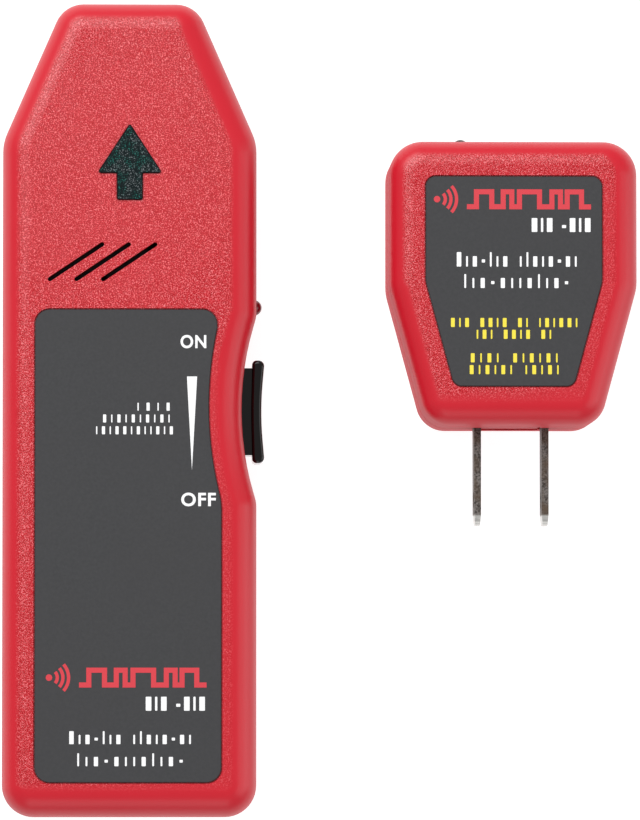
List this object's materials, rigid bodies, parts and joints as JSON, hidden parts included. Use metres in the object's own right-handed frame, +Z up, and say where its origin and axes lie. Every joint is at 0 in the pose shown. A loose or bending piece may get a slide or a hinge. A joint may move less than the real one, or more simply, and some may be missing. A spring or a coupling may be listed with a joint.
{
  "type": "circuit breaker finder",
  "caption": "Hand-held receiver with an arrow, sound slots, side button and side lamp, beside a plug-in transmitter block with flat blades, both lying on their backs.",
  "frame": {"origin": "under the middle of the pair, on the plane both backs lie on", "axes": "+Z up out of the label side, +Y towards the receiver's tip, +X from the receiver to the transmitter"},
  "size_m": [0.1186, 0.152, 0.0275],
  "materials": {
    "red_abs": "fine-grained moulded red ABS",
    "label_grey": "matte dark grey film label",
    "black_matte": "textured black moulding",
    "black_gloss": "glossy black moulding",
    "board_green": "solder-masked board",
    "red_lens": "tinted clear epoxy lamp",
    "tinned_wire": "tinned wire",
    "ferrite": "sintered ferrite",
    "bobbin_white": "moulded bobbin",
    "copper_wire": "enamelled copper winding",
    "triac_black": "moulded package",
    "resistor_body": "coated resistor",
    "can_blue": "sleeved capacitor",
    "battery_jacket": "printed battery jacket, left plain",
    "nickel": "nickel-plated steel",
    "snap_black": "moulded snap connector",
    "wire_red": "PVC insulation",
    "wire_black": "PVC insulation",
    "foam_grey": "closed-cell foam",
    "screw_steel": "zinc-plated steel",
    "carrier_red": "moulded insert",
    "blade_metal": "plated blade",
    "smoke_lens": "tinted clear epoxy lamp",
    "film_yellow": "film capacitor case",
    "power_ceramic": "wire-wound resistor",
    "fuse_glass": "glass tube",
    "varistor_blue": "coated disc"
  },
  "bodies": {
    "receiver": {"receiver_front_shell": "red_abs", "receiver_rear_shell": "red_abs", "receiver_label": "label_grey", "direction_arrow": "black_matte", "receiver_board": "board_green", "switch_body": "black_matte", "receiver_led": "red_lens", "receiver_led_leads": "tinned_wire", "sounder": "black_matte", "pickup_core": "ferrite", "pickup_bobbin": "bobbin_white", "pickup_coil": "copper_wire", "controller_chip": "triac_black", "signal_resistors": "resistor_body", "signal_capacitors": "can_blue", "battery_case": "battery_jacket", "battery_terminals": "nickel", "battery_snap": "snap_black", "battery_lead_red": "wire_red", "battery_lead_black": "wire_black", "battery_pad": "foam_grey", "receiver_screws": "screw_steel"},
    "button": {"power_button": "black_gloss"},
    "plunger": {"switch_plunger": "black_matte"},
    "door": {"battery_door": "red_abs"},
    "transmitter": {"transmitter_front_shell": "red_abs", "transmitter_rear_shell": "red_abs", "transmitter_label": "label_grey", "blade_carrier": "carrier_red", "blade_line": "blade_metal", "blade_neutral": "blade_metal", "transmitter_board": "board_green", "transmitter_led": "smoke_lens", "transmitter_led_leads": "tinned_wire", "blade_lead_line": "wire_black", "blade_lead_neutral": "wire_red", "film_capacitor": "film_yellow", "drop_resistor": "power_ceramic", "triac": "triac_black", "fuse_tube": "fuse_glass", "fuse_caps": "nickel", "varistor": "varistor_blue", "small_resistors": "resistor_body", "transmitter_screws": "screw_steel"}
  },
  "joints": [
    {"name": "button_press", "type": "slide", "parent": "receiver", "child": "button", "axis": [-1, 0, 0], "range_m": [0, 0.0006], "stiffness_N_per_m": 1200, "springref_m": -0.0006},
    {"name": "plunger_press", "type": "slide", "parent": "receiver", "child": "plunger", "axis": [-1, 0, 0], "range_m": [0, 0.0006]},
    {"name": "door_slide", "type": "slide", "parent": "receiver", "child": "door", "axis": [0, -1, 0], "range_m": [0, 0.05]},
    {"name": "transmitter_lift", "type": "slide", "parent": "receiver", "child": "transmitter", "axis": [0, 0, 1], "range_m": [0, 0.06]}
  ],
  "couplings": [
    {"joint": "plunger_press", "follows": "button_press", "ratio": 1}
  ]
}
